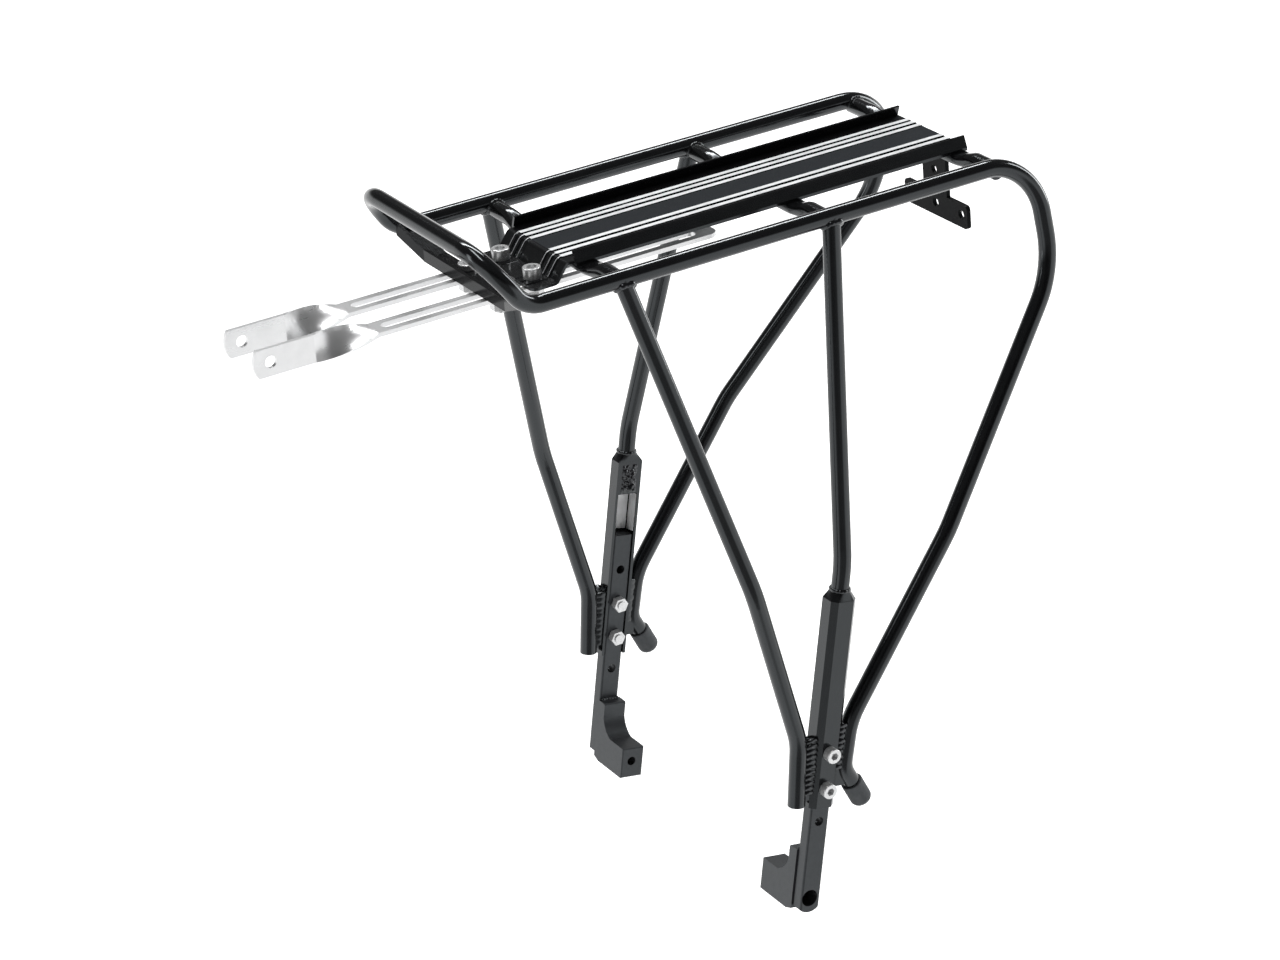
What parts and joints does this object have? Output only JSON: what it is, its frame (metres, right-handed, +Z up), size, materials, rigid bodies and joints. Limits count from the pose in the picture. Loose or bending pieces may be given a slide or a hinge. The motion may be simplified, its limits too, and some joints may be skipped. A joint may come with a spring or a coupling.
{
  "type": "bicycle rear rack",
  "caption": "Tubular bicycle rear rack with a lipped track deck, raised front loop, splayed legs on telescopic offset feet, slotted front stays and a lamp plate.",
  "frame": {"origin": "middle of the line through the two foot eyes, where the rack is bolted to the bicycle", "axes": "+X to the rear of the bicycle, -Y to its left side, +Z up, square to the deck"},
  "size_m": [0.4545, 0.2526, 0.422],
  "materials": {
    "black_tube": "gloss black coating",
    "deck_black": "black extrusion with bare machined ridges",
    "foot_anodised": "satin dark grey",
    "cap_rubber": "matte dark grey",
    "stainless_strip": "bright stainless",
    "bright_screw": "bright plated",
    "bracket_black": "black powder coat"
  },
  "bodies": {
    "frame": {"left_rail": "black_tube", "left_rear_stay": "black_tube", "left_front_leg": "black_tube", "left_mid_leg": "black_tube", "left_leg_channel": "black_tube", "left_front_web": "black_tube", "left_rear_web": "black_tube", "left_hook_cap": "cap_rubber", "left_leg_bolts": "bright_screw", "left_leg_nuts": "bright_screw", "right_rail": "black_tube", "right_rear_stay": "black_tube", "right_front_leg": "black_tube", "right_mid_leg": "black_tube", "right_leg_channel": "black_tube", "right_front_web": "black_tube", "right_rear_web": "black_tube", "right_hook_cap": "cap_rubber", "right_leg_bolts": "bright_screw", "right_leg_nuts": "bright_screw", "front_loop": "black_tube", "front_cross_tube": "black_tube", "mid_cross_tube": "black_tube", "rear_cross_tube": "black_tube", "loop_bracket": "black_tube", "deck_plate": "deck_black", "light_bracket": "bracket_black", "tab_bolts": "bright_screw", "tab_washers": "bright_screw", "tab_nuts": "bright_screw", "bracket_bolts": "bright_screw", "bracket_washers": "bright_screw", "bracket_nuts": "bright_screw"},
    "left_stay": {"left_stay": "stainless_strip"},
    "right_stay": {"right_stay": "stainless_strip"},
    "left_foot": {"left_foot_bar": "foot_anodised", "left_foot_block": "foot_anodised"},
    "right_foot": {"right_foot_bar": "foot_anodised", "right_foot_block": "foot_anodised"}
  },
  "joints": [
    {"name": "left_stay_slide", "type": "slide", "parent": "frame", "child": "left_stay", "axis": [-1, 0, 0], "range_m": [-0.06, 0.09]},
    {"name": "right_stay_slide", "type": "slide", "parent": "frame", "child": "right_stay", "axis": [-1, 0, 0], "range_m": [-0.06, 0.09]},
    {"name": "left_foot_slide", "type": "slide", "parent": "frame", "child": "left_foot", "axis": [-0.1908, 0, -0.9816], "range_m": [-0.0212, 0.0212]},
    {"name": "right_foot_slide", "type": "slide", "parent": "frame", "child": "right_foot", "axis": [-0.1908, 0, -0.9816], "range_m": [-0.0212, 0.0212]}
  ]
}
